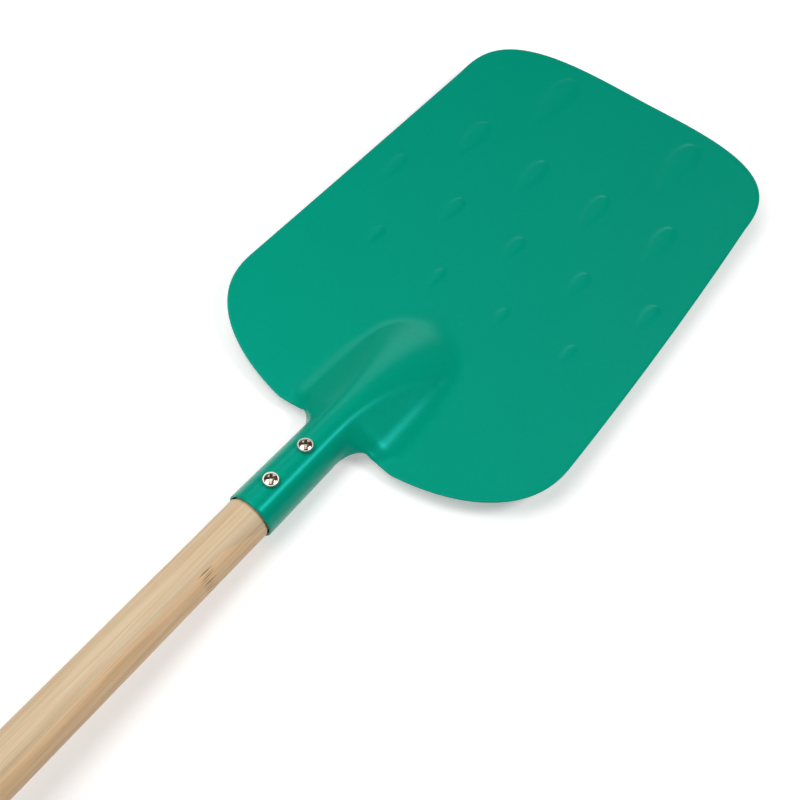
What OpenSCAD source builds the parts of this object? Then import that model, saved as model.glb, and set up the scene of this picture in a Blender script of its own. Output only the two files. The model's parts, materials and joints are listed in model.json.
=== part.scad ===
// Children's sand shovel: a pressed steel blade rolled into a socket, a round wooden handle
// and two pan-head screws. It lies face up on the socket's heel and the blade's belly,
// as it does on a floor, so the handle rises a little towards its grip end.
// +Y points along the shovel to the tip, +Z is up out of the blade's face.

/* [Blade] */
// Widest width of the blade, near its shoulders
blade_w = 198; // [170:1:230]
// Width of the blade where its tip starts to round in
tip_w = 188.5; // [160:0.5:230]
// Length of the blade from its shoulder edge to its tip
blade_len = 286.5; // [240:0.5:340]
// Length of the rounded stretch at the tip
tip_round = 54; // [30:1:80]
// Length of the rounded stretch at the shoulders
shoulder_round = 55.5; // [35:0.5:75]
// Fullness of the tip's corners, where 2 is an ellipse
tip_fullness = 2.65; // [2:0.05:4]
// Fullness of the shoulders' corners, where 2 is an ellipse
shoulder_fullness = 2.45; // [2:0.05:4]
// Thickness of the sheet
sheet_t = 1; // [0.8:0.1:1.6]

/* [Dish of the blade] */
// Radius of the lengthwise bend that turns the tip up
bend_r = 1600; // [1000:20:3000]
// Radius of the crosswise dish
dish_r = 430; // [300:5:900]
// Depth of the bowl's lowest point below the handle's axis
bowl_drop = 4.3; // [1:0.1:7]
// Distance of the bowl's lowest point from the shoulder edge
bowl_y = 19; // [0:1:60]

/* [Socket] */
// Length of the closed tube
socket_len = 44; // [36:1:70]
// Length of the flare between the tube and the shoulder edge
neck_len = 13; // [8:1:25]
// Half width of the flare where it meets the shoulder edge
neck_half_w = 20; // [16:0.5:26]
// Depth of the dip in the shoulder edge next to the flare
dip_depth = 1.8; // [0:0.1:4]
// Half width over which the shoulder edge dips
dip_half_w = 36; // [28:1:45]
// Length along the shoulder edge over which the dip fades out
dip_fade = 12; // [6:1:20]
// Narrowing of the socket's radius from its mouth to the shoulder edge
socket_taper = 0.5; // [0:0.1:1.5]
// Gap of the seam along the back
seam_gap = 1.5; // [0.5:0.1:4]
// Clearance between the handle and the socket
socket_clear = 0.2; // [0.15:0.05:0.5]

/* [Ridge] */
// Half width of the ridge on the blade
ridge_half_w = 27.5; // [24:0.5:40]
// Steepness of the ridge's flanks at the shoulder edge, as rise over run
neck_steepness = 0.9; // [0.7:0.05:1.5]
// Length over which the flanks ease to the slope of the ridge on the blade
ridge_flare = 12; // [6:1:30]
// Length over which the ridge runs out into the blade
ridge_len = 95; // [50:1:130]
// Share of the ridge's length that is its hollow end
ridge_end = 0.18; // [0.1:0.01:0.5]
// Share of the ridge's length after which it rounds in, with its crest twice as wide as the tube
ridge_nose = 0.4; // [0.2:0.01:0.8]
// Softness of the ridge's hollow foot, as a share of the crest's height
ridge_foot = 0.2; // [0.1:0.01:0.3]

/* [Pressed drops] */
// Height of the drops above the sheet
drop_h = 0.5; // [0.3:0.1:1.6]
// Distance between neighbouring drops of a row
drop_pitch = 41; // [32:1:55]
// Length of the drops in the row next to the tip
drop_len = 50; // [30:1:60]
// Width of the drops in the row next to the tip
drop_w = 18; // [10:0.5:22]
// Size of the drops in each row, as a share of the row before it
drop_shrink = 0.71; // [0.6:0.01:0.9]
// Number of rows
drop_rows = 4; // [1:1:5]
// Distance from the tip to the first row
drop_first = 37.5; // [30:0.5:60]
// Distance from the first row to the second
drop_row_pitch = 52.5; // [45:0.5:60]
// Each later distance between rows, as a share of the one before it
drop_row_shrink = 0.885; // [0.8:0.005:1]

/* [Handle] */
// Diameter of the handle
handle_d = 22; // [18:0.5:26]
// Length of the handle outside the socket
handle_free = 456; // [250:1:900]
// Distance of the handle's nose from the shoulder edge
nose_back = 12; // [11:0.5:15]
// Rounding of the grip end
end_round = 8; // [2:0.5:8.5]

/* [Screws] */
// Outer diameter of the screws
screw_d = 3.9; // [2.9:0.1:4.2]
// Length of the screws under the head
screw_len = 16; // [12:0.5:19]
// Diameter of the pan head
head_d = 7.5; // [6:0.1:8]
// Height of the pan head
head_h = 2.8; // [2.2:0.1:3.2]
// Radius of the head's dome
dome_r = 6.5; // [4.5:0.1:9]
// Width of the cross recess
recess_w = 1.4; // [0.6:0.1:1.6]
// Length of the cross recess
recess_len = 5.2; // [2.5:0.1:5.5]
// Depth of the cross recess
recess_depth = 1.6; // [0.8:0.1:1.8]
// Length of the screws' point
point_len = 3.5; // [2:0.1:6]
// Diameter of the blunt end of the point
point_d = 0.4; // [0.2:0.1:1]
// Distance of the rear screw from the socket's mouth
rear_screw_y = 14.6; // [8:0.1:20]
// Distance between the two screws
screw_pitch = 23.5; // [14:0.5:25]
// Clearance of the screws in the socket's holes
hole_clear = 0.15; // [0.05:0.05:0.4]
// Clearance of the screws in the handle's pilot holes
pilot_clear = 0.05; // [0.02:0.01:0.1]

/* [Hidden] */
$fn = 64;

// Places along the handle's axis, from the socket's mouth
shoulder_y = socket_len + neck_len;
tip_y = shoulder_y + blade_len;
side_start = shoulder_y + shoulder_round;
side_end = tip_y - tip_round;
bowl_at = shoulder_y + bowl_y;
nose_len = shoulder_y - nose_back;

// Counts of the sheet's grid
neck_cols = 8;
wrap_cols = 8;
edge_cols = 5;
tube_rows = 3;
neck_rows = 5;
blade_rows = 46;
// Power that crowds the blade's rows towards the ridge
row_crowding = 1.15;
// Columns stand a share of the drops' pitch apart, and crowd by this power towards the side edge
column_pitch = drop_pitch / 8;
edge_band = 12;
edge_crowding = 1.7;
even_cols = floor((tip_w / 2 - edge_band - neck_half_w) / column_pitch);
even_end = neck_half_w + column_pitch * even_cols;
outer_cols = even_cols + edge_cols;
// Turn of the tube to each side of its crest that runs on into the blade
open_angle = 100;
// Power that keeps the neck round until it nears the shoulder edge
neck_hold = 3.5;
// Power that keeps the fillet of the neck to its outermost columns
edge_hold = 6;
// Step of the finite differences that give the sheet's slope
slope_step = 0.5;

function mix(a, b, w) = a + (b - a) * w;
function unit(v) = v / norm(v);
function smooth(t) = t * t * (3 - 2 * t);

// Outer radius of the socket
function tube_r(y) = handle_d / 2 + socket_clear + sheet_t - socket_taper * y / shoulder_y;

// Bowl of the blade without ridge or drops
function bowl(x, y) = -bowl_drop + pow(y - bowl_at, 2) / (2 * bend_r) + x * x / (2 * dish_r);

// Height of the ridge's crest over the bowl: it falls in a round and ends in a hollow
ridge_rise = tube_r(shoulder_y) - bowl(0, shoulder_y);
function crest_z(share) =
    share < 1 - ridge_end ? ridge_rise * (1 - share * share / (1 - ridge_end))
    : ridge_rise * pow(1 - share, 2) / ridge_end;

// Height lost at x from a round crest that runs on into straight flanks
function flank_drop(x, crest_r, steepness) =
    let (round_x = min(x, crest_r * sin(atan(steepness))))
    crest_r - sqrt(crest_r * crest_r - round_x * round_x) + steepness * (x - round_x);

// Height kept above a floor of 0, with a hollow of the given softness where they meet
function soft_floor(z, soft) =
    z > soft ? z
    : z > -soft ? pow(z + soft, 2) / (4 * soft)
    : 0;

// Ridge that carries the tube's crest on into the blade and widens past the shoulder edge
function ridge(x, y) =
    let (past = max(0, y - shoulder_y), share = past / ridge_len)
    share >= 1 ? 0
    : let (
        crest = crest_z(share),
        crest_r = tube_r(shoulder_y) * (1 + pow(share / ridge_nose, 2)),
        nose = max(0, (share - ridge_nose) / (1 - ridge_nose)),
        half_w = ridge_half_w * sqrt(1 - nose * nose),
        slope = (half_w - sqrt(max(0, half_w * half_w - 2 * crest_r * crest))) / crest_r,
        steepness = mix(neck_steepness, slope, smooth(min(1, past / ridge_flare)))
    )
    soft_floor(crest - flank_drop(abs(x), crest_r, steepness), ridge_foot * crest);

// Half width of the blade's straight sides, by the share of their length
function side_w(share) = mix(blade_w, tip_w, share * share) / 2;

// Share of a rounded end's length that is left at a share of its half width
function round_share(width_share, fullness) =
    pow(max(0, 1 - pow(width_share, fullness)), 1 / fullness);

// Rows of staggered drops, each with its place, length and width
function drop_row_y(row) =
    row == 0 ? tip_y - drop_first
    : drop_row_y(row - 1) - drop_row_pitch * pow(drop_row_shrink, row - 1);
drop_reach = ceil(blade_w / 2 / drop_pitch);
drops = [
    for (row = [0 : drop_rows - 1])
    let (
        y = drop_row_y(row),
        size = pow(drop_shrink, row),
        shift = row % 2 == 0 ? 0 : 0.5,
        side = side_w(min(1, max(0, (y - side_start) / (side_end - side_start)))),
        end_share = max(0, y - side_end) / tip_round,
        room = side * round_share(end_share, tip_fullness)
    )
    for (k = [-drop_reach : drop_reach])
    let (x = (k + shift) * drop_pitch)
    if (abs(x) + drop_w * size < room && !(row == 0 && k == 0))
    [x, y, drop_len * size, drop_w * size]
];

// One drop: round and high towards the tip, drawn out towards the handle
// The peak is the greatest value of the formula for its outline
piriform_peak = 1.3;
function drop_z(x, y, drop) =
    let (along = 2 * (y - drop[1]) / drop[2], across = 2 * (x - drop[0]) / drop[3])
    abs(along) >= 1 || abs(across) >= 1 ? 0
    : let (reach = (1 + along) * sqrt(1 - along * along) / piriform_peak)
    drop_h * smooth((1 + along) / 2) * smooth(max(0, 1 - pow(across / reach, 2)));

// Height and upward direction of the blade's face
function face_z(x, y) = bowl(x, y) + ridge(x, y) + max([for (drop = drops) drop_z(x, y, drop)]);
function face_up(x, y) = unit([
    face_z(x - slope_step, y) - face_z(x + slope_step, y),
    face_z(x, y - slope_step) - face_z(x, y + slope_step),
    2 * slope_step
]);

// Vertices of the sheet, each as its point on the face and its outward direction
function face_vertex(x, y) = [[x, y, face_z(x, y)], face_up(x, y)];
function tube_vertex(angle, y) = [
    [tube_r(y) * sin(angle), y, tube_r(y) * cos(angle)],
    [sin(angle), 0, cos(angle)]
];

// Blade: each column runs from the shoulder edge to the tip edge
function column_x(col, share) =
    let (beyond = abs(col) - neck_cols)
    beyond <= 0 ? neck_half_w * col / neck_cols
    : beyond <= even_cols ? sign(col) * (neck_half_w + column_pitch * beyond)
    : sign(col) * mix(side_w(share), even_end, pow((outer_cols - beyond) / edge_cols, edge_crowding));
function shoulder_edge(col) =
    let (
        x = abs(column_x(col, 0)),
        dip = smooth(min(1, max(0, (dip_half_w - x) / dip_fade)))
    )
    side_start - shoulder_round * round_share(x / side_w(0), shoulder_fullness) + dip_depth * dip;
function tip_edge(col) = side_end
    + tip_round * round_share(abs(column_x(col, 1)) / side_w(1), tip_fullness);
function blade_vertex(col, share) =
    face_vertex(column_x(col, share), mix(shoulder_edge(col), tip_edge(col), share));

// Tube: the middle columns run on into the neck, the others wrap round to the seam
seam_angle = 180 - asin(seam_gap / 2 / tube_r(socket_len));
function wrap_angle(col) =
    let (beyond = abs(col) - neck_cols)
    beyond <= 0 ? open_angle * col / neck_cols
    : sign(col) * mix(open_angle, seam_angle, beyond / wrap_cols);

// Neck: the tube's arc opens into the ridge, and its edge fillets into the shoulder edge
function neck_vertex(col, t) =
    let (
        foot = tube_vertex(wrap_angle(col), mix(socket_len, shoulder_edge(col), t)),
        head = blade_vertex(col, 0),
        edge = pow(abs(col) / neck_cols, edge_hold),
        w = mix(smooth(pow(t, neck_hold)), 1 - sqrt(1 - t * t), edge)
    )
    [
        [mix(foot[0][0], head[0][0], w), foot[0][1], mix(foot[0][2], head[0][2], w)],
        unit(mix(foot[1], head[1], w))
    ];

// Whole sheet, row by row from the socket's mouth to the tip
function sheet_rows() =
    let (wrap = neck_cols + wrap_cols, half = neck_cols + outer_cols)
    concat(
        [for (r = [0 : tube_rows])
            [for (col = [-wrap : wrap]) tube_vertex(wrap_angle(col), socket_len * r / tube_rows)]],
        [for (r = [1 : neck_rows - 1])
            [for (col = [-neck_cols : neck_cols]) neck_vertex(col, sin(90 * r / neck_rows))]],
        [for (r = [0 : blade_rows])
            [for (col = [-half : half]) blade_vertex(col, pow(r / blade_rows, row_crowding))]]
    );

// Two triangles of a cell, mirrored between the left and right halves
function cell(a, b, c, d, left) = left ? [[a, d, b], [b, d, c]] : [[a, d, c], [a, c, b]];

module sheet() {
    rows = sheet_rows();
    last = len(rows) - 1;
    half = [for (row = rows) (len(row) - 1) / 2];
    first = [for (r = 0, s = 0; r <= last; s = s + len(rows[r]), r = r + 1) s];
    at = function (r, col) first[r] + half[r] + col;
    face = [for (row = rows) for (v = row) v[0]];
    back = [for (row = rows) for (v = row) v[0] - sheet_t * v[1]];
    count = len(face);
    face_cells = [
        for (r = [0 : last - 1])
        let (reach = min(half[r], half[r + 1]))
        for (col = [-reach : reach - 1])
        each cell(at(r, col), at(r, col + 1), at(r + 1, col + 1), at(r + 1, col), col < 0)
    ];
    back_cells = [for (f = face_cells) [f[2] + count, f[1] + count, f[0] + count]];
    // Right-hand outline from the mouth to the tip, stepping in at the neck and out again
    right = [
        for (r = [0 : last])
        let (
            from = r > 0 && half[r] > half[r - 1] ? half[r - 1] : half[r],
            to = r < last && half[r + 1] < half[r] ? half[r + 1] : half[r]
        )
        for (col = [from : from > to ? -1 : 1 : to])
        [r, col]
    ];
    left = [for (k = [len(right) - 1 : -1 : 0]) [right[k][0], -right[k][1]]];
    rim = concat(
        [for (col = [-half[0] + 1 : half[0] - 1]) at(0, col)],
        [for (v = right) at(v[0], v[1])],
        [for (col = [half[last] - 1 : -1 : -half[last] + 1]) at(last, col)],
        [for (v = left) at(v[0], v[1])]
    );
    rim_cells = [
        for (k = [0 : len(rim) - 1])
        let (a = rim[k], b = rim[(k + 1) % len(rim)])
        each [[a, b, b + count], [a, b + count, a + count]]
    ];
    polyhedron(concat(face, back), concat(face_cells, back_cells, rim_cells));
}

// Lying pose: the floor touches the socket's heel and the belly of the blade
heel_r = tube_r(socket_len);
belly_reach = bowl_at - socket_len;
belly_y = sqrt(pow(belly_reach, 2) + 2 * bend_r * (heel_r - bowl_drop - sheet_t)) - belly_reach;
lift = atan(belly_y / bend_r);
heel_z = socket_len * sin(lift) + heel_r * cos(lift);
front_y = tip_y * cos(lift) + bowl(0, tip_y) * sin(lift);
round_y = handle_free - end_round;
grip_y = -round_y * cos(lift) - (handle_d / 2 - end_round) * sin(lift) - end_round;
module lying() {
    translate([0, -(front_y + grip_y) / 2, heel_z])
        rotate([-lift, 0, 0])
            children();
}

front_screw_y = rear_screw_y + screw_pitch;
screw_ys = [rear_screw_y, front_screw_y];
// The head's underside touches the tapered tube at its edge nearest the mouth
function seat_z(y) = tube_r(y - head_d / 2);

module blade() {
    color("#00977f")
        lying()
            difference() {
                sheet();
                for (y = screw_ys)
                    translate([0, y, 0])
                        cylinder(h = 2 * heel_r, d = screw_d + 2 * hole_clear);
            }
}

module handle() {
    r = handle_d / 2;
    nose_r = r - socket_taper * nose_len / shoulder_y;
    color("#d9b98c")
        lying()
            difference() {
                rotate([-90, 0, 0])
                    rotate_extrude() {
                        translate([0, -round_y])
                            square([r, round_y]);
                        translate([0, -handle_free])
                            square([r - end_round, handle_free]);
                        intersection() {
                            translate([r - end_round, -round_y])
                                circle(end_round);
                            translate([0, -handle_free])
                                square([r, handle_free]);
                        }
                        polygon([[0, 0], [r, 0], [nose_r, nose_len], [0, nose_len]]);
                    }
                for (y = screw_ys)
                    translate([0, y, seat_z(y) - screw_len - 2 * pilot_clear])
                        cylinder(h = 2 * heel_r, d = screw_d + 2 * pilot_clear);
            }
}

// Screw with a domed pan head and a cross recess, its head seated on the socket
module screw(y) {
    color("#b9bcc0")
        lying()
            translate([0, y, seat_z(y)])
                difference() {
                    union() {
                        intersection() {
                            cylinder(h = head_h, d = head_d);
                            translate([0, 0, head_h - dome_r])
                                sphere(dome_r);
                        }
                        translate([0, 0, point_len - screw_len])
                            cylinder(h = screw_len - point_len, d = screw_d);
                        translate([0, 0, -screw_len])
                            cylinder(h = point_len, d1 = point_d, d2 = screw_d);
                    }
                    for (turn = [0, 90])
                        rotate(turn)
                            translate([-recess_len / 2, -recess_w / 2, head_h - recess_depth])
                                cube([recess_len, recess_w, head_h]);
                }
}

module front_screw() {
    screw(front_screw_y);
}

module rear_screw() {
    screw(rear_screw_y);
}

blade();
handle();
front_screw();
rear_screw();
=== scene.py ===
import json
import math

import bpy
import numpy as np
from mathutils import Matrix, Vector, geometry, kdtree


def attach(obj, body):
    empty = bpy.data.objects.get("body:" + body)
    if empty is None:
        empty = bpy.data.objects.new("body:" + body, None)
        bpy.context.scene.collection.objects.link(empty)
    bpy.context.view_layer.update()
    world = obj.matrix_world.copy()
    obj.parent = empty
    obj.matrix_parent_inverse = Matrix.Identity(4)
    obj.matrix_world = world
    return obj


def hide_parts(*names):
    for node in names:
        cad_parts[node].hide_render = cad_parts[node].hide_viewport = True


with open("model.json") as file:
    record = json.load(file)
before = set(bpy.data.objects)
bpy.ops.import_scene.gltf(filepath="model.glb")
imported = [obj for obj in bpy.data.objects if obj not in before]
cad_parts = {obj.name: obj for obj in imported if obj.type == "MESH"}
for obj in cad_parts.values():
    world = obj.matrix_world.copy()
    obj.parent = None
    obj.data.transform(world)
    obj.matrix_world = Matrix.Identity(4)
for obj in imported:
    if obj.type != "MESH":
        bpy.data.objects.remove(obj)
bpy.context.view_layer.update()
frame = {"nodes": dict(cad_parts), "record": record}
scene = bpy.context.scene
scene.view_settings.view_transform = "Standard"
print("frame loaded:", ", ".join(sorted(frame["nodes"])))

metre = 1000.0  # millimetres in a metre
tiny = 1e-6  # keeps divisions off 0, and joins points that lie as close
colourA, colourB, mixedColour = 6, 7, 2  # places of a Mix node's colours among its sockets

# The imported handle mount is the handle's free length: from it come the socket's place and tilt
shaft = frame["record"]["mounts"][0]
shaftLength = shaft["dims"]["length_mm"]
towardsGrip = Vector(shaft["axis"]).normalized()
mouth = Vector(shaft["pos_m"]) - towardsGrip * shaftLength / (2 * metre)
across = Vector((1, 0, 0))
socketFrame = Matrix((across, -towardsGrip, across.cross(-towardsGrip))).transposed().to_4x4()
socketFrame.translation = mouth


def toLinear(hexColour):
    levels = [int(hexColour[k:k + 2], 16) / 255 for k in (1, 3, 5)]
    return [c / 12.92 if c <= 0.04045 else ((c + 0.055) / 1.055) ** 2.4 for c in levels] + [1.0]


# Adds one node. Settings are its properties, inputs are values or other nodes' sockets
def addNode(tree, kind, settings=None, inputs=None):
    node = tree.nodes.new(kind)
    for name, value in (settings or {}).items():
        setattr(node, name, value)
    for key, value in (inputs or {}).items():
        if isinstance(value, bpy.types.NodeSocket):
            tree.links.new(value, node.inputs[key])
        else:
            node.inputs[key].default_value = value
    return node


def newMaterial(name):
    material = bpy.data.materials.new(name)
    material.use_nodes = True
    tree = material.node_tree
    return material, tree, tree.nodes["Principled BSDF"]


# Places a mesh given in millimetres in the socket's frame
def newPiece(name, points, faces, material):
    mesh = bpy.data.meshes.new(name)
    mesh.from_pydata((np.asarray(points) / metre).tolist(), [], faces)
    mesh.transform(socketFrame)
    mesh.validate()
    mesh.shade_smooth()
    mesh.materials.append(material)
    piece = bpy.data.objects.new(name, mesh)
    scene.collection.objects.link(piece)
    return piece


# Cuts one closed mesh out of another and removes the cutter
def cutAway(piece, cutter):
    modifier = piece.modifiers.new("cut", "BOOLEAN")
    modifier.operation = "DIFFERENCE"
    modifier.solver = "MANIFOLD"
    modifier.object = cutter
    bpy.context.view_layer.update()
    cut = bpy.data.meshes.new_from_object(piece.evaluated_get(bpy.context.evaluated_depsgraph_get()))
    cut.name = piece.name
    piece.modifiers.clear()
    piece.data = cut
    bpy.data.objects.remove(cutter)


# Hands a finished piece to the frame: it stands for a CAD node and rides on its body
def seat(piece, node):
    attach(piece, "root")
    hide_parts(node)


# Camera, at the photograph's viewing angle
view = {
    "place": (0.1629, -0.0667, 0.4513),
    "aim": (0.0120, 0.1502, 0.0050),
    "roll": 3.41,  # degrees, turns the picture clockwise
    "lens": 47.73,  # millimetres, on a square sensor of this width
    "sensor": 36,
    "nearest": 0.01,  # metres from the camera to what it can still see
}
cameraData = bpy.data.cameras.new("camera")
cameraData.sensor_width = view["sensor"]
cameraData.lens = view["lens"]
cameraData.clip_start = view["nearest"]
camera = bpy.data.objects.new("camera", cameraData)
scene.collection.objects.link(camera)
place, aim = Vector(view["place"]), Vector(view["aim"])
camera.rotation_mode = "QUATERNION"
towardsAim = (aim - place).to_track_quat("-Z", "Y")
rolled = Matrix.Rotation(math.radians(view["roll"]), 4, "Z").to_quaternion()
camera.rotation_quaternion = towardsAim @ rolled
camera.location = place
scene.camera = camera
print("camera set, lens", view["lens"], "mm")


# Matte paper sweep: evenly white to the eye, and it keeps the shadow. The small glow, which only
# what looks at the floor sees, lifts the lit paper to white and lights nothing
floorPaper = {"size": 60.0, "colour": "#E9E9E9", "glow": 0.40}  # size in metres


def makeFloor():
    material, tree, shader = newMaterial("mattePaperSweep")
    tree.nodes.remove(shader)
    diffuse = addNode(tree, "ShaderNodeBsdfDiffuse", None, {"Color": toLinear(floorPaper["colour"])})
    path = addNode(tree, "ShaderNodeLightPath")
    seen = path.outputs["Is Camera Ray"]
    for ray in ("Is Glossy Ray", "Is Transmission Ray"):
        seen = addNode(tree, "ShaderNodeMath", {"operation": "MAXIMUM"}, {
            0: seen, 1: path.outputs[ray]}).outputs[0]
    level = addNode(tree, "ShaderNodeMath", {"operation": "MULTIPLY"}, {0: seen, 1: floorPaper["glow"]})
    glow = addNode(tree, "ShaderNodeEmission", None, {"Strength": level.outputs[0]})
    both = addNode(tree, "ShaderNodeAddShader", None, {0: diffuse.outputs[0], 1: glow.outputs[0]})
    tree.links.new(both.outputs[0], tree.nodes["Material Output"].inputs["Surface"])
    half = floorPaper["size"] / 2
    corners = [(-half, -half, 0), (half, -half, 0), (half, half, 0), (-half, half, 0)]
    mesh = bpy.data.meshes.new("floor")
    mesh.from_pydata(corners, [], [(0, 1, 2, 3)])
    mesh.materials.append(material)
    floor = bpy.data.objects.new("floor", mesh)
    scene.collection.objects.link(floor)


# Studio: a broad soft box overhead, a near one above the neck whose light falls off towards the
# tip, and a weak one behind. A long soft wall behind on the left lies as a pale band on the ridge,
# and a strong strip high on the right draws the bright line along the tube.
# Each is given by the direction that it shines from, and by its size across and along the shovel
lamps = {
    "softboxTop": {"from": (-0.27, 0.09, 0.96), "distance": 1.4, "size": (1.0, 1.0), "watts": 4.5},
    "softboxNear": {"from": (-0.30, -0.35, 0.87), "distance": 0.5, "size": (0.35, 0.35), "watts": 1.05},
    "softboxBack": {"from": (-0.36, 0.51, 0.78), "distance": 1.1, "size": (0.5, 0.5), "watts": 0.25},
    "wallLeft": {"from": (-0.58, 0.67, 0.46), "distance": 1.3, "size": (0.5, 1.5), "watts": 2.2},
    "stripRight": {"from": (0.52, 0.34, 0.78), "distance": 1.47, "size": (0.30, 0.66), "watts": 8.0},
}
# The room is pale at the horizon and dim above, by the height of the direction looked in
room = {"horizon": "#8C8C8C", "ceiling": "#403A38", "horizonTop": 0.02, "ceilingStart": 0.30}


def makeLight():
    for name, lamp in lamps.items():
        data = bpy.data.lights.new(name, "AREA")
        data.shape = "ELLIPSE"
        data.size, data.size_y = lamp["size"]
        data.energy = lamp["watts"]
        light = bpy.data.objects.new(name, data)
        scene.collection.objects.link(light)
        outward = Vector(lamp["from"]).normalized()
        sideways = Vector((0, 1, 0)).cross(outward).normalized()
        turned = Matrix((sideways, outward.cross(sideways), outward)).transposed()
        light.matrix_world = Matrix.LocRotScale(aim + outward * lamp["distance"], turned, None)
    world = bpy.data.worlds.new("room")
    scene.world = world
    world.use_nodes = True
    tree = world.node_tree
    coords = addNode(tree, "ShaderNodeTexCoord")
    axes = addNode(tree, "ShaderNodeSeparateXYZ", None, {0: coords.outputs["Generated"]})
    rise = addNode(tree, "ShaderNodeMapRange", {"interpolation_type": "SMOOTHSTEP"}, {
        "Value": axes.outputs["Z"], "From Min": room["horizonTop"], "From Max": room["ceilingStart"]})
    tone = addNode(tree, "ShaderNodeMix", {"data_type": "RGBA"}, {
        "Factor": rise.outputs["Result"],
        colourA: toLinear(room["horizon"]), colourB: toLinear(room["ceiling"])})
    tree.links.new(tone.outputs[mixedColour], tree.nodes["Background"].inputs["Color"])


makeFloor()
makeLight()
print("floor and light set:", len(lamps), "lamps")


# Gloss powder coat, sprayed and baked on pressed steel: a smooth thick film that rounds the cut
# edges, with a faint orange peel that softens the edges of its highlights
paint = {
    "shadedDimple": "#00987C",  # colours in the dimples of the orange peel and on its crowns: painted shade makes the dimples a little darker, painted light makes the crowns a little lighter
    "litCrown": "#009C80",
    "gleam": "#30E0E0",  # tint of what the paint mirrors
    "peelSize": 2.2,  # millimetres from dimple to dimple
    "peelDepth": 0.1,
    "peelBump": 0.12,  # share of the depth that shows
    "roughness": (0.22, 0.28),
    "ior": 1.5,
}


def greenPowderCoat():
    material, tree, shader = newMaterial("greenPowderCoat")
    coords = addNode(tree, "ShaderNodeTexCoord")
    peel = addNode(tree, "ShaderNodeTexNoise", None, {
        "Vector": coords.outputs["Object"], "Scale": metre / paint["peelSize"], "Detail": 1.0})
    # Painted shade and light: the colour follows the peel's height, a little darker in its dimples and
    # lighter on its crowns
    tint = addNode(tree, "ShaderNodeMix", {"data_type": "RGBA"}, {
        "Factor": peel.outputs["Fac"],
        colourA: toLinear(paint["shadedDimple"]), colourB: toLinear(paint["litCrown"])})
    low, high = paint["roughness"]
    gloss = addNode(tree, "ShaderNodeMapRange", None, {
        "Value": peel.outputs["Fac"], "To Min": low, "To Max": high})
    bump = addNode(tree, "ShaderNodeBump", None, {
        "Height": peel.outputs["Fac"], "Strength": paint["peelBump"],
        "Distance": paint["peelDepth"] / metre})
    tree.links.new(tint.outputs[mixedColour], shader.inputs["Base Color"])
    tree.links.new(gloss.outputs["Result"], shader.inputs["Roughness"])
    tree.links.new(bump.outputs["Normal"], shader.inputs["Normal"])
    shader.inputs["IOR"].default_value = paint["ior"]
    shader.inputs["Specular Tint"].default_value = toLinear(paint["gleam"])
    return material


# Laminated bamboo, turned, sanded and clear sealed: two glued strips of slightly different tone,
# long fibre bundles that show as fine lines, and a node with short dashes here and there.
# The strip on the handle's side is also painted lighter than its own tone, as painted fill light for the
# shade that falls on that side.
# A mark's levels are the noise at which it begins, that at which it is full, and its share then
bamboo = {
    "topStrip": "#DCC5A2",
    # warmer tone of the side strip, painted lighter as painted fill light for the shade on that side of
    # the handle
    "sideStripWithPaintedFill": "#EECB9F",
    "fibreTone": "#C29662",
    "dashTone": "#8F6A40",
    "roughness": 0.5,
    "ior": 1.5,
    "glueAngle": 32.5,  # degrees from the top to the glue line, round the handle
    "glueHalfWidth": 0.3,
    "glueDrift": 1.5,  # millimetres that the line may wander to each side
    "drift": 5.0,  # width and length of its wanderings
    "driftLength": 40.0,
    "glueRunOut": 7.0,  # by how much it runs out of the way at the socket's mouth
    "runOutLength": 24.0,
    "bundle": 0.6,  # width and length of the fibre bundles
    "bundleLength": 60.0,
    "bundleLevels": (0.50, 0.72, 0.45),
    "bundleDepth": 0.1,
    "bundleBump": 0.25,  # share of the depth that shows
    "streak": 2.5,  # width and length of the broader streaks of tone
    "streakLength": 50.0,
    "streakLevels": (0.42, 0.75, 0.40),
    "dash": 0.5,  # width and length of the dashes at the nodes
    "dashLength": 14.0,
    "dashLevels": (0.52, 0.66, 0.90),
    "nodeAt": 35.0,  # from the socket's mouth to the first node
    "nodePitch": 270.0,
    "nodeLength": 5.5,
}


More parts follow.
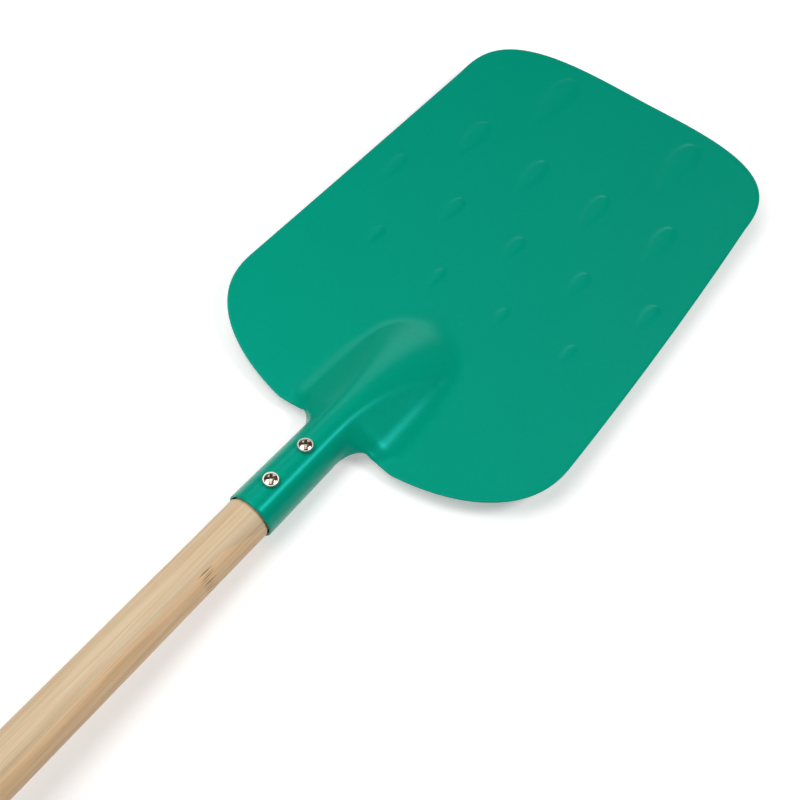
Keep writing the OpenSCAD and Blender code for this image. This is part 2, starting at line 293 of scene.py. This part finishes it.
def sealedBamboo():
    material, tree, shader = newMaterial("sealedBamboo")
    coords = addNode(tree, "ShaderNodeMapping", {"vector_type": "TEXTURE"}, {
        "Vector": addNode(tree, "ShaderNodeTexCoord").outputs["Object"],
        "Location": socketFrame.translation, "Rotation": socketFrame.to_euler()}).outputs[0]

    # Noise drawn out along the handle, by the width and length of its grain
    def fibreNoise(place, width, length, detail):
        stretch = (metre / width, metre / length, metre / width)
        grain = addNode(tree, "ShaderNodeVectorMath", {"operation": "MULTIPLY"}, {0: place, 1: stretch})
        return addNode(tree, "ShaderNodeTexNoise", None, {
            "Vector": grain.outputs[0], "Scale": 1.0, "Detail": detail}).outputs["Fac"]

    # Side of the glue line, which wanders with the fibres
    turn = math.radians(bamboo["glueAngle"])
    side = addNode(tree, "ShaderNodeVectorMath", {"operation": "DOT_PRODUCT"}, {
        0: coords, 1: (math.cos(turn), 0, -math.sin(turn))}).outputs["Value"]
    drift = addNode(tree, "ShaderNodeMapRange", None, {
        "Value": fibreNoise(coords, bamboo["drift"], bamboo["driftLength"], 2.0),
        "To Min": -bamboo["glueDrift"] / metre, "To Max": bamboo["glueDrift"] / metre}).outputs["Result"]
    side = addNode(tree, "ShaderNodeMath", {"operation": "ADD"}, {0: side, 1: drift}).outputs[0]
    along = addNode(tree, "ShaderNodeSeparateXYZ", None, {0: coords}).outputs["Y"]
    runOut = addNode(tree, "ShaderNodeMapRange", None, {
        "Value": along, "From Min": -bamboo["runOutLength"] / metre, "From Max": 0.0,
        "To Max": bamboo["glueRunOut"] / metre}).outputs["Result"]
    side = addNode(tree, "ShaderNodeMath", {"operation": "SUBTRACT"}, {0: side, 1: runOut}).outputs[0]
    glueHalfWidth = bamboo["glueHalfWidth"] / metre
    strip = addNode(tree, "ShaderNodeMapRange", None, {
        "Value": side, "From Min": -glueHalfWidth, "From Max": glueHalfWidth}).outputs["Result"]
    # The side strip's colour holds painted fill light: it is lighter than its own tone, to make up for
    # the shade on that side
    base = addNode(tree, "ShaderNodeMix", {"data_type": "RGBA"}, {
        "Factor": strip, colourA: toLinear(bamboo["topStrip"]),
        colourB: toLinear(bamboo["sideStripWithPaintedFill"])}).outputs[mixedColour]
    # Each strip has its own fibres, in fine lines and in broader streaks of tone
    shift = addNode(tree, "ShaderNodeCombineXYZ", None, {"X": strip, "Y": strip, "Z": strip}).outputs[0]
    place = addNode(tree, "ShaderNodeVectorMath", {"operation": "ADD"}, {0: coords, 1: shift}).outputs[0]
    fibres = fibreNoise(place, bamboo["bundle"], bamboo["bundleLength"], 3.0)
    streaks = fibreNoise(place, bamboo["streak"], bamboo["streakLength"], 2.0)
    for noise, levels in ((streaks, bamboo["streakLevels"]), (fibres, bamboo["bundleLevels"])):
        begin, full, most = levels
        share = addNode(tree, "ShaderNodeMapRange", None, {
            "Value": noise, "From Min": begin, "From Max": full, "To Max": most}).outputs["Result"]
        base = addNode(tree, "ShaderNodeMix", {"data_type": "RGBA"}, {
            "Factor": share, colourA: base,
            colourB: toLinear(bamboo["fibreTone"])}).outputs[mixedColour]
    # Nodes repeat along the handle, half a pitch further on in the other strip
    halfPitch = bamboo["nodePitch"] / 2
    stagger = addNode(tree, "ShaderNodeMapRange", None, {
        "Value": strip, "To Min": (halfPitch + bamboo["nodeAt"]) / metre,
        "To Max": bamboo["nodeAt"] / metre}).outputs["Result"]
    fromNode = addNode(tree, "ShaderNodeMath", {"operation": "ADD"}, {0: along, 1: stagger}).outputs[0]
    fromNode = addNode(tree, "ShaderNodeMath", {"operation": "PINGPONG"}, {
        0: fromNode, 1: halfPitch / metre}).outputs[0]
    near = addNode(tree, "ShaderNodeMapRange", {"interpolation_type": "SMOOTHSTEP"}, {
        "Value": fromNode, "From Max": bamboo["nodeLength"] / metre,
        "To Min": 1.0, "To Max": 0.0}).outputs["Result"]
    begin, full, most = bamboo["dashLevels"]
    dashes = addNode(tree, "ShaderNodeMapRange", None, {
        "Value": fibreNoise(place, bamboo["dash"], bamboo["dashLength"], 0.0),
        "From Min": begin, "From Max": full, "To Max": most}).outputs["Result"]
    dashes = addNode(tree, "ShaderNodeMath", {"operation": "MULTIPLY"}, {0: dashes, 1: near}).outputs[0]
    marked = addNode(tree, "ShaderNodeMix", {"data_type": "RGBA"}, {
        "Factor": dashes, colourA: base,
        colourB: toLinear(bamboo["dashTone"])}).outputs[mixedColour]
    bump = addNode(tree, "ShaderNodeBump", None, {
        "Height": fibres, "Strength": bamboo["bundleBump"],
        "Distance": bamboo["bundleDepth"] / metre})
    tree.links.new(marked, shader.inputs["Base Color"])
    tree.links.new(bump.outputs["Normal"], shader.inputs["Normal"])
    shader.inputs["Roughness"].default_value = bamboo["roughness"]
    shader.inputs["IOR"].default_value = bamboo["ior"]
    return material


# Nickel plate on cold-headed steel: a bright, slightly warm mirror with fine tumbling scratches
plating = {
    "tone": "#D8CBBC",
    "scratchSize": 0.5,  # millimetres, coarser than the real scratches so that they show
    "scratchDepth": 0.05,
    "scratchBump": 0.1,  # share of the depth that shows
    "roughness": (0.16, 0.24),
}


def nickelPlate():
    material, tree, shader = newMaterial("nickelPlate")
    coords = addNode(tree, "ShaderNodeTexCoord")
    scratches = addNode(tree, "ShaderNodeTexNoise", None, {
        "Vector": coords.outputs["Object"], "Scale": metre / plating["scratchSize"], "Detail": 2.0})
    low, high = plating["roughness"]
    gloss = addNode(tree, "ShaderNodeMapRange", None, {
        "Value": scratches.outputs["Fac"], "To Min": low, "To Max": high})
    bump = addNode(tree, "ShaderNodeBump", None, {
        "Height": scratches.outputs["Fac"], "Strength": plating["scratchBump"],
        "Distance": plating["scratchDepth"] / metre})
    tree.links.new(gloss.outputs["Result"], shader.inputs["Roughness"])
    tree.links.new(bump.outputs["Normal"], shader.inputs["Normal"])
    shader.inputs["Base Color"].default_value = toLinear(plating["tone"])
    shader.inputs["Metallic"].default_value = 1.0
    return material


# Blade: one flat blank is cut out, then formed into the socket, the neck, the ridge and the dish
blade = {
    "width": 198.0,
    "tipWidth": 188.5,
    "length": 286.5,
    "tipRound": 54.0,
    "shoulderRound": 55.5,
    "tipFullness": 2.65,  # 2 is an ellipse
    "shoulderFullness": 2.45,
    "thickness": 1.0,
    "rimRound": 0.35,  # reach of the painted, rounded cut edge
    "rimSteps": 6,
    "bendRadius": 1600.0,
    "dishRadius": 430.0,
    "bowlDrop": 4.3,
    "bowlAt": 19.0,  # from the shoulder edge
    "ridgeHalfWidth": 27.5,
    "neckSteepness": 0.9,  # of the ridge's flanks at the shoulder edge
    "ridgeFlare": 12.0,  # length over which they ease to their own slope
    "ridgeLength": 95.0,
    "ridgeEnd": 0.18,  # shares of its length: the hollow end, and where it starts to round in
    "ridgeNose": 0.4,
    "ridgeFoot": 0.34,  # softness of the hollow foot, as a share of the crest's height
    "neckHold": 3.5,  # power that keeps the neck round until it nears the shoulder edge
    "neckRim": 6,  # power that keeps the neck's fillet to its outermost columns
    "dipDepth": 1.8,  # of the shoulder edge next to the neck
    "dipHalfWidth": 36.0,
    "dipFade": 12.0,
    "meshStep": 1.2,
    "meshClear": 0.6,  # share of a step that the lattice keeps from the outline
}
socket = {
    "length": 44.0,
    "neckLength": 13.0,
    "neckHalfWidth": 20.0,
    "taper": 0.5,
    "seamGap": 1.5,
    "clearance": 0.2,
    "openAngle": 100.0,  # turn of the tube to each side that runs on into the blade
    "innerCorner": 1.5,  # fillet where the rolled flap leaves the neck
}
shoulderY = socket["length"] + socket["neckLength"]
tipY = shoulderY + blade["length"]
sideStart = shoulderY + blade["shoulderRound"]
sideEnd = tipY - blade["tipRound"]
bowlY = shoulderY + blade["bowlAt"]


def mix(a, b, share):
    return a + (b - a) * share


def smooth(t):
    return t * t * (3 - 2 * t)


# Outer radius of the socket tube, which tapers from the mouth
def tubeRadius(y):
    mouthRadius = pole["diameter"] / 2 + socket["clearance"] + blade["thickness"]
    return mouthRadius - socket["taper"] * y / shoulderY


# The bowl is bent a little lengthwise and dished across
def bowlZ(x, y):
    lengthwise = (y - bowlY) ** 2 / (2 * blade["bendRadius"])
    return lengthwise + x * x / (2 * blade["dishRadius"]) - blade["bowlDrop"]


# Height of the ridge's crest over the bowl: it falls in a round and ends in a hollow
def crestZ(share):
    rise, end = tubeRadius(shoulderY) - bowlZ(0, shoulderY), blade["ridgeEnd"]
    return rise * np.where(share < 1 - end, 1 - share ** 2 / (1 - end), (1 - share) ** 2 / end)


# Height lost at x from a round crest that runs on into straight flanks
def flankDrop(x, crestRadius, steepness):
    roundX = np.minimum(x, crestRadius * np.sin(np.arctan(steepness)))
    return crestRadius - np.sqrt(crestRadius ** 2 - roundX ** 2) + steepness * (x - roundX)


# Height kept above a floor of 0, with a hollow of the given softness where they meet
def softFloor(z, soft):
    hollow = np.clip(z + soft, 0, 2 * soft) ** 2 / (4 * np.maximum(soft, tiny))
    return np.where(z > soft, z, hollow)


# The ridge carries the tube's crest on into the blade and widens past the shoulder edge
def ridgeZ(x, y):
    past = np.clip(y - shoulderY, 0, blade["ridgeLength"])
    share = past / blade["ridgeLength"]
    crest = crestZ(share)
    crestRadius = tubeRadius(shoulderY) * (1 + (share / blade["ridgeNose"]) ** 2)
    nose = np.maximum(0, (share - blade["ridgeNose"]) / (1 - blade["ridgeNose"]))
    halfWidth = blade["ridgeHalfWidth"] * np.sqrt(1 - nose ** 2)
    slope = (halfWidth - np.sqrt(np.maximum(0, halfWidth ** 2 - 2 * crestRadius * crest))) / crestRadius
    steepness = mix(blade["neckSteepness"], slope, smooth(np.minimum(1, past / blade["ridgeFlare"])))
    return softFloor(crest - flankDrop(np.abs(x), crestRadius, steepness), blade["ridgeFoot"] * crest)


# Half width along the nearly straight sides, from the shoulder to the tip
def sideWidth(share):
    return mix(blade["width"], blade["tipWidth"], share * share) / 2


# Quarter round of the corners, fuller than an ellipse
def roundShare(share, fullness):
    return np.maximum(0, 1 - np.abs(share) ** fullness) ** (1 / fullness)


# Drops pressed into the blade, in staggered rows that shrink towards the handle
drops = {
    "height": 0.5,
    "pitch": 41.0,
    "length": 50.0,
    "width": 18.0,
    "shrink": 0.71,  # size of a row, as a share of the row before it
    "rows": 4,
    "each": 3,  # places to each side of the middle, as far as the blade is wide enough
    "plain": (0, 0),  # row and place that stay without a drop
    "first": 37.5,  # from the tip
    "rowPitch": 52.5,
    "rowShrink": 0.885,
}


# Place, length and width of each drop
def dropPlaces():
    places = []
    y, step = tipY - drops["first"], drops["rowPitch"]
    for row in range(drops["rows"]):
        size = drops["shrink"] ** row
        along = min(1, max(0, (y - sideStart) / (sideEnd - sideStart)))
        inTip = max(0, y - sideEnd) / blade["tipRound"]
        halfWidth = sideWidth(along) * roundShare(inTip, blade["tipFullness"])
        for k in range(-drops["each"], drops["each"] + 1):
            x = (k + 0.5 * (row % 2)) * drops["pitch"]
            if abs(x) + drops["width"] * size < halfWidth and (row, k) != drops["plain"]:
                places.append((x, y, drops["length"] * size, drops["width"] * size))
        y, step = y - step, step * drops["rowShrink"]
    return places


# One drop is round and high towards the tip and drawn out towards the handle
def dropsZ(x, y):
    widest = 1.3  # what the outline below reaches, so that a drop is as wide as its width says
    height = np.zeros_like(x)
    for dropX, dropY, length, width in dropPlaces():
        along = np.clip(2 * (y - dropY) / length, -1, 1)
        sideways = 2 * (x - dropX) / width
        reach = np.maximum(tiny, (1 + along) * np.sqrt(1 - along * along) / widest)
        swell = smooth(np.maximum(0, 1 - (sideways / reach) ** 2)) * (np.abs(along) < 1)
        height = np.maximum(height, drops["height"] * swell * smooth((1 + along) / 2))
    return height


def faceZ(x, y):
    return bowlZ(x, y) + ridgeZ(x, y) + dropsZ(x, y)


# The shoulder edge steps back a little next to the neck
def shoulderDip(x):
    share = (blade["dipHalfWidth"] - np.abs(x)) / blade["dipFade"]
    return blade["dipDepth"] * smooth(np.clip(share, 0, 1))


def shoulderEdge(x):
    arc = blade["shoulderRound"] * roundShare(x / sideWidth(0), blade["shoulderFullness"])
    return sideStart - arc + shoulderDip(x)


# Width of the flap on each side of the blank that is rolled on round the back of the tube
def flapWidth():
    rolledOn = math.pi - math.radians(socket["openAngle"])
    return rolledOn * tubeRadius(socket["length"]) - socket["seamGap"] / 2


# Points a mesh step apart along a path, without its last point
def spaced(path, step):
    path = np.asarray(path, float)
    run = np.concatenate([[0], np.cumsum(np.linalg.norm(np.diff(path, axis=0), axis=1))])
    at = np.linspace(0, run[-1], max(2, math.ceil(run[-1] / step) + 1))[:-1]
    return np.stack([np.interp(at, run, path[:, 0]), np.interp(at, run, path[:, 1])], 1)


# The blank's outline: its right half from the middle of the socket's mouth round to the tip, then
# the same mirrored. Curves are drawn with many points first and spaced out after that
def blankOutline(step):
    filletPoints, roundPoints, sidePoints = 9, 400, 100
    neck, corner = socket["neckHalfWidth"], socket["innerCorner"]
    flap, tubeEnd = neck + flapWidth(), socket["length"]
    bend = np.linspace(-np.pi / 2, -np.pi, filletPoints)
    fillet = np.stack([neck + corner * (1 + np.cos(bend)), tubeEnd + corner * (1 + np.sin(bend))], 1)
    quarter = np.linspace(np.pi / 2, 0, roundPoints)
    sin, cos = np.sin(quarter), np.cos(quarter)
    power, deep = 2 / blade["shoulderFullness"], blade["shoulderRound"]
    shoulder = np.stack([sideWidth(0) * cos ** power, sideStart - deep * sin ** power], 1)
    shoulder[:, 1] += shoulderDip(shoulder[:, 0])
    shoulder = np.concatenate([[[neck, shoulderEdge(neck)]], shoulder[shoulder[:, 0] > neck]])
    share = np.linspace(0, 1, sidePoints)
    straight = np.stack([sideWidth(share), mix(sideStart, sideEnd, share)], 1)
    power = 2 / blade["tipFullness"]
    tip = np.stack([sideWidth(1) * sin ** power, sideEnd + blade["tipRound"] * cos ** power], 1)
    paths = [
        [(0, 0), (flap, 0)],
        [(flap, 0), (flap, tubeEnd)],
        [(flap, tubeEnd), (neck + corner, tubeEnd)],
        fillet,
        [(neck, tubeEnd + corner), (neck, shoulderEdge(neck))],
        shoulder,
        straight,
        tip,
    ]
    right = np.concatenate([spaced(path, step) for path in paths] + [[[0, tipY]]])
    return np.concatenate([right, right[-2:0:-1] * (-1, 1)])


# Half width of the blank at each height
def blankHalfWidth(v):
    neck = socket["neckHalfWidth"]
    share = np.clip((v - sideStart) / (sideEnd - sideStart), 0, 1)
    inShoulder = np.maximum(0, sideStart - v) / blade["shoulderRound"]
    inTip = np.maximum(0, v - sideEnd) / blade["tipRound"]
    low = sideWidth(0) * roundShare(inShoulder, blade["shoulderFullness"])
    high = sideWidth(1) * roundShare(inTip, blade["tipFullness"])
    half = np.where(v < sideStart, np.maximum(low, neck), np.where(v > sideEnd, high, sideWidth(share)))
    return np.where(v < socket["length"], neck + flapWidth(), half)


# Cuts the blank: an even lattice of points inside the outline and round the two screw holes
def cutBlank():
    step, neck, tubeEnd = blade["meshStep"], socket["neckHalfWidth"], socket["length"]
    outline = blankOutline(step)
    holePoints = 24
    turns = np.linspace(0, 2 * np.pi, holePoints, endpoint=False)
    holeRadius = screw["diameter"] / 2 + screw["holeClearance"]
    ring = holeRadius * np.stack([np.cos(turns), np.sin(turns)], 1)
    loops = [outline] + [ring + (0, y) for y in screwPlaces]
    border = kdtree.KDTree(sum(len(loop) for loop in loops))
    for k, (s, v) in enumerate(np.concatenate(loops)):
        border.insert((s, v, 0), k)
    border.balance()
    lattice = []
    for row, v in enumerate(np.arange(step / 2, tipY, step * math.sqrt(3) / 2)):
        half = float(blankHalfWidth(v))
        start = step * (math.floor(-half / step) + (row % 2) / 2)
        inside = [s for s in np.arange(start, half, step) if abs(s) < half]
        if v > tubeEnd:
            inside = [s for s in inside if abs(s) < neck or v > shoulderEdge(s)]
        lattice += [(s, v) for s in inside]
    lattice = [p for p in lattice if border.find((*p, 0))[2] > blade["meshClear"] * step]
    lattice = [p for p in lattice if all(math.dist(p, (0, y)) > holeRadius for y in screwPlaces)]
    points = np.concatenate(loops + [np.array(lattice)])
    edges, first = [], 0
    for loop in loops:
        edges += [(first + k, first + (k + 1) % len(loop)) for k in range(len(loop))]
        first += len(loop)
    flat, _, faces, *_ = geometry.delaunay_2d_cdt([Vector(p) for p in points], edges, [], 1, tiny)
    flat, faces = np.array(flat), np.array(faces)
    # The triangles that fill the holes come out
    centre = flat[faces].mean(1)
    within = 0.98 * holeRadius
    inHole = np.any([np.hypot(centre[:, 0], centre[:, 1] - y) < within for y in screwPlaces], 0)
    return flat, faces[~inHole]


# Forms the blank: rolls the tube, opens the neck and presses the blade
def formBlank(flat):
    s, v = flat[:, 0], flat[:, 1]
    neck, tubeEnd = socket["neckHalfWidth"], socket["length"]
    column = np.clip(np.abs(s) / neck, 0, 1)
    openAngle = math.radians(socket["openAngle"])
    seamAngle = math.pi - math.asin(socket["seamGap"] / 2 / tubeRadius(tubeEnd))
    flap = np.clip((np.abs(s) - neck) / flapWidth(), 0, 1)
    angle = np.sign(s) * np.where(flap > 0, mix(openAngle, seamAngle, flap), openAngle * column)
    top = shoulderEdge(np.clip(s, -neck, neck))
    inNeck = np.clip((v - tubeEnd) / (top - tubeEnd), 0, 1)
    edge = column ** blade["neckRim"]
    t = mix(inNeck, np.sin(np.pi / 2 * inNeck), edge)
    y = np.where(v < tubeEnd, v, mix(tubeEnd, top, t))
    w = mix(smooth(t ** blade["neckHold"]), 1 - np.sqrt(1 - t * t), edge)
    x = mix(tubeRadius(y) * np.sin(angle), np.clip(s, -neck, neck), w)
    z = mix(tubeRadius(y) * np.cos(angle), faceZ(np.clip(s, -neck, neck), top), w)
    pastCorner = v > tubeEnd + 2 * socket["innerCorner"]
    onBlade = np.where(np.abs(s) > neck, pastCorner, v >= shoulderEdge(s))
    rolledUp, pressed = np.stack([x, y, z], 1), np.stack([s, v, faceZ(s, v)], 1)
    return np.where(onBlade[:, None], pressed, rolledUp)


def unit(vectors):
    return vectors / np.linalg.norm(vectors, axis=1)[:, None]


def makeBlade(material):
    flat, faces = cutBlank()
    face = formBlank(flat)
    a, b, c = (face[faces[:, k]] for k in range(3))
    up = np.zeros_like(face)
    for k in range(3):
        np.add.at(up, faces[:, k], np.cross(b - a, c - a))
    up = unit(up)
    # Edges that belong to one triangle only are the rim, each with the sheet on its left
    sides = {(int(f[k]), int(f[(k + 1) % 3])) for f in faces for k in range(3)}
    rim = [edge for edge in sides if edge[::-1] not in sides]
    after = np.array(sorted(rim))
    before = {end: start for start, end in rim}
    at = after[:, 0]
    outward = unit(np.cross(face[after[:, 1]] - face[[before[k] for k in at]], up[at]))
    face[at] -= outward * blade["rimRound"]
    back = face - up * blade["thickness"]
    # Rounded rim, ring by ring from the face to the back
    half = blade["thickness"] / 2
    middle = face[at] - up[at] * half
    rings = [at]
    points = [face, back]
    count = 2 * len(face)
    for k in range(1, blade["rimSteps"]):
        bend = math.pi * k / blade["rimSteps"]
        points.append(middle + up[at] * half * math.cos(bend)
                      + outward * blade["rimRound"] * math.sin(bend))
        rings.append(np.arange(count, count + len(at)))
        count += len(at)
    rings.append(at + len(face))
    index = {int(v): k for k, v in enumerate(at)}
    quads = []
    for upper, lower in zip(rings, rings[1:]):
        for k, (start, end) in enumerate(after):
            n = index[int(end)]
            quads.append((int(upper[k]), int(lower[k]), int(lower[n]), int(upper[n])))
    triangles = faces.tolist() + (faces[:, ::-1] + len(face)).tolist()
    piece = newPiece("bladeSheet", np.concatenate(points), triangles + quads, material)
    seat(piece, "blade")
    print("blade formed:", len(piece.data.polygons), "faces")


# Turns a profile of (radius, height, thread depth) round Z. The thread is a helix cut into the
# round, and each of its flanks takes a third of the pitch
def lathe(profile, segments, threadPitch=None):
    flank = 3
    points, faces = [], []
    for radius, height, depth in profile:
        for k in range(segments):
            groove = 0.0
            if depth:
                phase = (height / threadPitch - k / segments) % 1
                groove = depth * min(1, flank * abs(phase - 0.5))
            points.append(((radius - groove) * math.cos(2 * math.pi * k / segments),
                           (radius - groove) * math.sin(2 * math.pi * k / segments), height))
    for row in range(len(profile) - 1):
        low, high = row * segments, (row + 1) * segments
        for k in range(segments):
            n = (k + 1) % segments
            faces.append((low + k, low + n, high + n, high + k))
    last = (len(profile) - 1) * segments
    faces.append(tuple(range(segments - 1, -1, -1)))
    faces.append(tuple(range(last, last + segments)))
    return np.array(points), faces


# Screws, driven into the pole through the top of the socket
screw = {
    "diameter": 3.9,
    "core": 2.8,
    "threadPitch": 1.4,
    "threadEnd": 0.8,  # below the head, with a plain neck from a little above it
    "neckStart": 0.7,
    "length": 16.0,
    "pointLength": 3.5,
    "pointRadius": 0.2,
    "headDiameter": 7.5,
    "headHeight": 2.8,
    "rimHeight": 1.9,
    "rimRound": 0.15,
    "rimWidth": 0.6,  # of the flat ring round the dome
    "domeGap": 0.05,  # from the ring to the foot of the dome
    "recessWidth": 1.4,
    "recessLength": 5.2,
    "recessDepth": 1.9,
    "recessSlope": 38.0,  # degrees, of the floor of the recess towards its middle
    "recessTurn": 35.0,  # degrees from the shovel's length
    "rearAt": 14.6,  # from the socket's mouth
    "pitch": 23.5,
    "holeClearance": 0.15,
    "pilotClearance": 0.05,
    "segments": 48,
    "threadRows": 8,  # in one pitch
    "domeRows": 14,
    "sharpAngle": 25,  # degrees, bends that are shaded as edges
}
screwPlaces = [screw["rearAt"], screw["rearAt"] + screw["pitch"]]


# The head's underside touches the tapered tube at its edge nearest the mouth
def seatHeight(y):
    return tubeRadius(y - screw["headDiameter"] / 2)


# Drill for the pilot hole that a screw sits in
def pilotDrill(y, material):
    clearance = screw["pilotClearance"]
    radius, bottom = screw["diameter"] / 2 + clearance, -screw["length"] - 2 * clearance
    points, faces = lathe([(radius, bottom, 0), (radius, 0, 0)], screw["segments"])
    return newPiece("pilotDrill", points + (0, y, seatHeight(y)), faces, material)


# Cross recess: the floor of each arm slopes down to a small flat square in the middle
def crossCutter(y, material):
    half, wide = screw["recessLength"] / 2, screw["recessWidth"] / 2
    bottom = screw["headHeight"] - screw["recessDepth"]
    top = screw["headHeight"] + 1  # clear of the dome
    armEnd = bottom + (half - wide) * math.tan(math.radians(screw["recessSlope"]))
    arm = [(half, -wide, armEnd), (half, wide, armEnd), (wide, wide, bottom)]
    turn = math.radians(screw["recessTurn"])
    floor = []
    for k in range(4):
        c, s = math.cos(turn + k * math.pi / 2), math.sin(turn + k * math.pi / 2)
        floor += [(u * c - w * s, u * s + w * c, height) for u, w, height in arm]
    ring = len(floor)
    points = floor + [(u, w, top) for u, w, height in floor]
    faces = [(k, (k + 1) % ring, ring + (k + 1) % ring, ring + k) for k in range(ring)]
    faces += [((3 * k - 1) % ring, 3 * k + 2, 3 * k + 1, 3 * k) for k in range(4)]
    faces += [tuple(range(ring - 1, 0, -3)), tuple(range(ring, 2 * ring))]
    return newPiece("crossCutter", np.array(points) + (0, y, seatHeight(y)), faces, material)


# Pan head: a flat ring round a low dome
def headProfile():
    head, rim = screw["headDiameter"] / 2, screw["rimRound"]
    profile = [(head - rim, 0, 0), (head, rim, 0), (head, screw["rimHeight"] - rim, 0)]
    profile += [(head - rim, screw["rimHeight"], 0), (head - screw["rimWidth"], screw["rimHeight"], 0)]
    foot, rise = head - screw["rimWidth"] - screw["domeGap"], screw["headHeight"] - screw["rimHeight"]
    dome = (foot ** 2 + rise ** 2) / (2 * rise)
    topAngle = 0.01  # leaves a very small flat in the middle, which closes the round
    for a in np.linspace(math.asin(foot / dome), topAngle, screw["domeRows"]):
        profile.append((dome * math.sin(a), screw["headHeight"] - dome * (1 - math.cos(a)), 0))
    return profile


def makeScrew(name, node, y, material):
    radius, core = screw["diameter"] / 2, screw["core"] / 2
    profile = []
    rowStep = screw["threadPitch"] / screw["threadRows"]
    for height in np.arange(-screw["length"], -screw["threadEnd"], rowStep):
        share = min(1, (height + screw["length"]) / screw["pointLength"])
        profile.append((mix(screw["pointRadius"], radius, share), height, (radius - core) * share))
    profile += [(core, -screw["neckStart"], 0), (core, 0, 0)] + headProfile()
    points, faces = lathe(profile, screw["segments"], screw["threadPitch"])
    piece = newPiece(name, points + (0, y, seatHeight(y)), faces, material)
    cutAway(piece, crossCutter(y, material))
    piece.data.set_sharp_from_angle(angle=math.radians(screw["sharpAngle"]))
    seat(piece, node)


# Handle: a turned pole with a rounded grip end, and a tapered nose inside the socket
pole = {
    "diameter": 22.0,
    "noseBack": 12.0,  # from the shoulder edge to the handle's nose
    "noseRound": ((1.0, 0.0), (0.4, 0.2), (0.0, 0.6)),  # how far back and how far in its points lie
    "endRound": 8.0,
    "groove": 0.8,  # from the mouth to where the nose is turned down
    "grooveDepth": 0.8,
    "grooveRun": 0.4,  # length over which it gets as deep
    "middleFlat": 0.02,  # radius of the very small flat that closes each end
    "segments": 128,
    "roundRows": 17,
    "lengthRows": 40,
    "sharpAngle": 50,  # degrees, bends that are shaded as edges
}


def makeHandle(material):
    radius, flat = pole["diameter"] / 2, pole["middleFlat"]
    gripEnd, endRound = -shaftLength - pole["endRound"], pole["endRound"]
    nose = shoulderY - pole["noseBack"]
    noseRadius = radius - socket["taper"] * nose / shoulderY
    profile = [(flat, gripEnd, 0)]
    for a in np.linspace(np.pi / 2, 0, pole["roundRows"]):
        profile.append((radius - endRound * (1 - math.cos(a)), endRound * (1 - math.sin(a)) + gripEnd, 0))
    shaftRows = np.linspace(endRound + gripEnd, -pole["groove"], pole["lengthRows"])
    profile += [(radius, y, 0) for y in shaftRows[1:]]
    profile += [(radius - pole["grooveDepth"], y, 0) for y in (pole["grooveRun"] - pole["groove"], 0.0)]
    profile += [(noseRadius - inward, nose - back, 0) for back, inward in pole["noseRound"]]
    profile.append((flat, nose, 0))
    points, faces = lathe(profile, pole["segments"])
    points = points[:, [0, 2, 1]] * (-1, 1, 1)
    piece = newPiece("bambooHandle", points, faces, material)
    for y in screwPlaces:
        cutAway(piece, pilotDrill(y, material))
    piece.data.set_sharp_from_angle(angle=math.radians(pole["sharpAngle"]))
    seat(piece, "handle")
    print("handle turned:", len(piece.data.polygons), "faces")


makeBlade(greenPowderCoat())
makeHandle(sealedBamboo())
nickel = nickelPlate()
for name, node, y in zip(("rearScrew", "frontScrew"), ("rear_screw", "front_screw"), screwPlaces):
    makeScrew(name, node, y, nickel)
print("screws driven:", len(screwPlaces))
